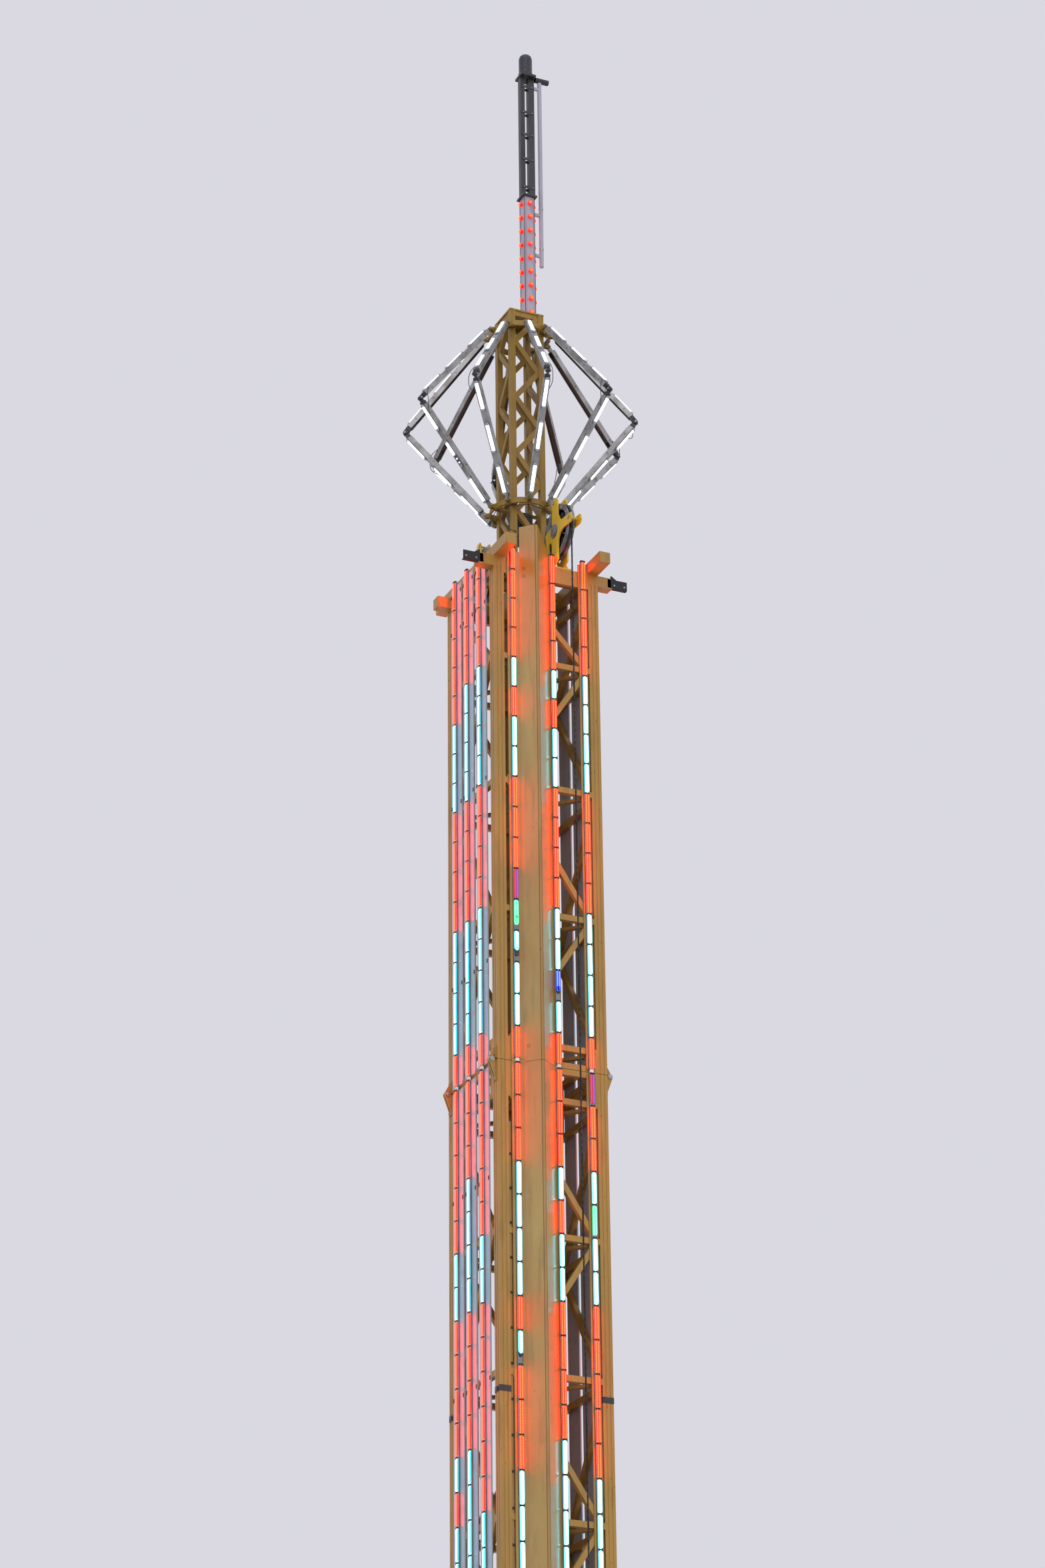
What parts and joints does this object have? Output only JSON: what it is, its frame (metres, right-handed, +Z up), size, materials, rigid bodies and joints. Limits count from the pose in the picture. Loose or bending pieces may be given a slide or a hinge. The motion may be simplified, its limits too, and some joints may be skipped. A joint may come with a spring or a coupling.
{
  "type": "drop tower ride scale model, 1:2",
  "caption": "Lattice drop tower with guide rails, light strips, rope sheaves at its head and a lantern of hinged arms under a mast, at half size",
  "frame": {"origin": "centre of the foot flange's underside, at ground level", "axes": "+Z up along the tower, -Y out of the front face with the big guide rail, +X to its right"},
  "size_m": [1.8776, 1.8592, 21],
  "materials": {
    "tower_paint": "ochre yellow enamel on steel, weathered",
    "board_white": "pale grey coated sheet",
    "led_lens": "clear and milky polycarbonate lens",
    "zinc_steel": "zinc plated steel, dull",
    "black_rubber": "black rubber buffer",
    "sheave_paint": "yellow enamel on steel plate",
    "sheave_iron": "cast iron, greased groove",
    "wire_rope": "greased steel wire rope",
    "lantern_paint": "ochre enamel on steel tube",
    "arm_aluminium": "mill finish aluminium channel",
    "dark_steel": "dark grey enamel",
    "mast_grey": "light grey enamel",
    "lamp_red": "red polycarbonate lamp cap",
    "beacon_lens": "milky polycarbonate dome"
  },
  "bodies": {
    "root": {"arm_light_bars": "led_lens", "arm_pins": "zinc_steel", "backing_boards_left": "board_white", "backing_boards_right": "board_white", "beacon": "beacon_lens", "column_back_left": "tower_paint", "column_back_right": "tower_paint", "column_front_left": "tower_paint", "column_front_right": "tower_paint", "cross_beam_ends": "black_rubber", "cross_tube": "beacon_lens", "foot_flange": "tower_paint", "foot_gussets": "tower_paint", "guide_rail_back": "tower_paint", "guide_rail_front": "tower_paint", "head_cross_beams": "tower_paint", "head_side_beams": "tower_paint", "hoist_rope_back": "wire_rope", "hoist_rope_front": "wire_rope", "knee_knuckles": "dark_steel", "lantern_base_beams": "tower_paint", "lantern_box": "dark_steel", "lantern_braces": "lantern_paint", "lantern_low_ring": "lantern_paint", "lantern_posts": "lantern_paint", "lantern_top_ring": "lantern_paint", "lattice_back": "tower_paint", "lattice_front": "tower_paint", "lattice_left": "tower_paint", "lattice_right": "tower_paint", "light_strips_back": "led_lens", "light_strips_front": "led_lens", "light_strips_left": "led_lens", "light_strips_right": "led_lens", "lower_arms": "arm_aluminium", "mast_box": "mast_grey", "mast_foot": "lantern_paint", "mast_lamps": "lamp_red", "mast_plate": "dark_steel", "mast_top_plate": "dark_steel", "mast_twin_posts": "dark_steel", "plan_braces": "tower_paint", "rail_carrier_back": "tower_paint", "rail_carrier_front": "tower_paint", "rope_sockets": "zinc_steel", "section_lugs_high": "tower_paint", "section_lugs_low": "tower_paint", "section_lugs_middle": "tower_paint", "section_pins": "zinc_steel", "sheave_axle_back": "zinc_steel", "sheave_axle_front": "zinc_steel", "sheave_cheeks_back": "sheave_paint", "sheave_cheeks_front": "sheave_paint", "side_pole": "mast_grey", "upper_arms": "arm_aluminium"},
    "front_sheave": {"sheave_wheel_front": "sheave_iron"},
    "back_sheave": {"sheave_wheel_back": "sheave_iron"}
  },
  "joints": [
    {"name": "front_sheave_spin", "type": "hinge", "parent": "root", "child": "front_sheave", "pos_m": [0.12, -0.45, 16.255], "axis": [1, 0, 0], "continuous": true},
    {"name": "back_sheave_spin", "type": "hinge", "parent": "root", "child": "back_sheave", "pos_m": [-0.12, 0.45, 16.255], "axis": [1, 0, 0], "continuous": true}
  ]
}
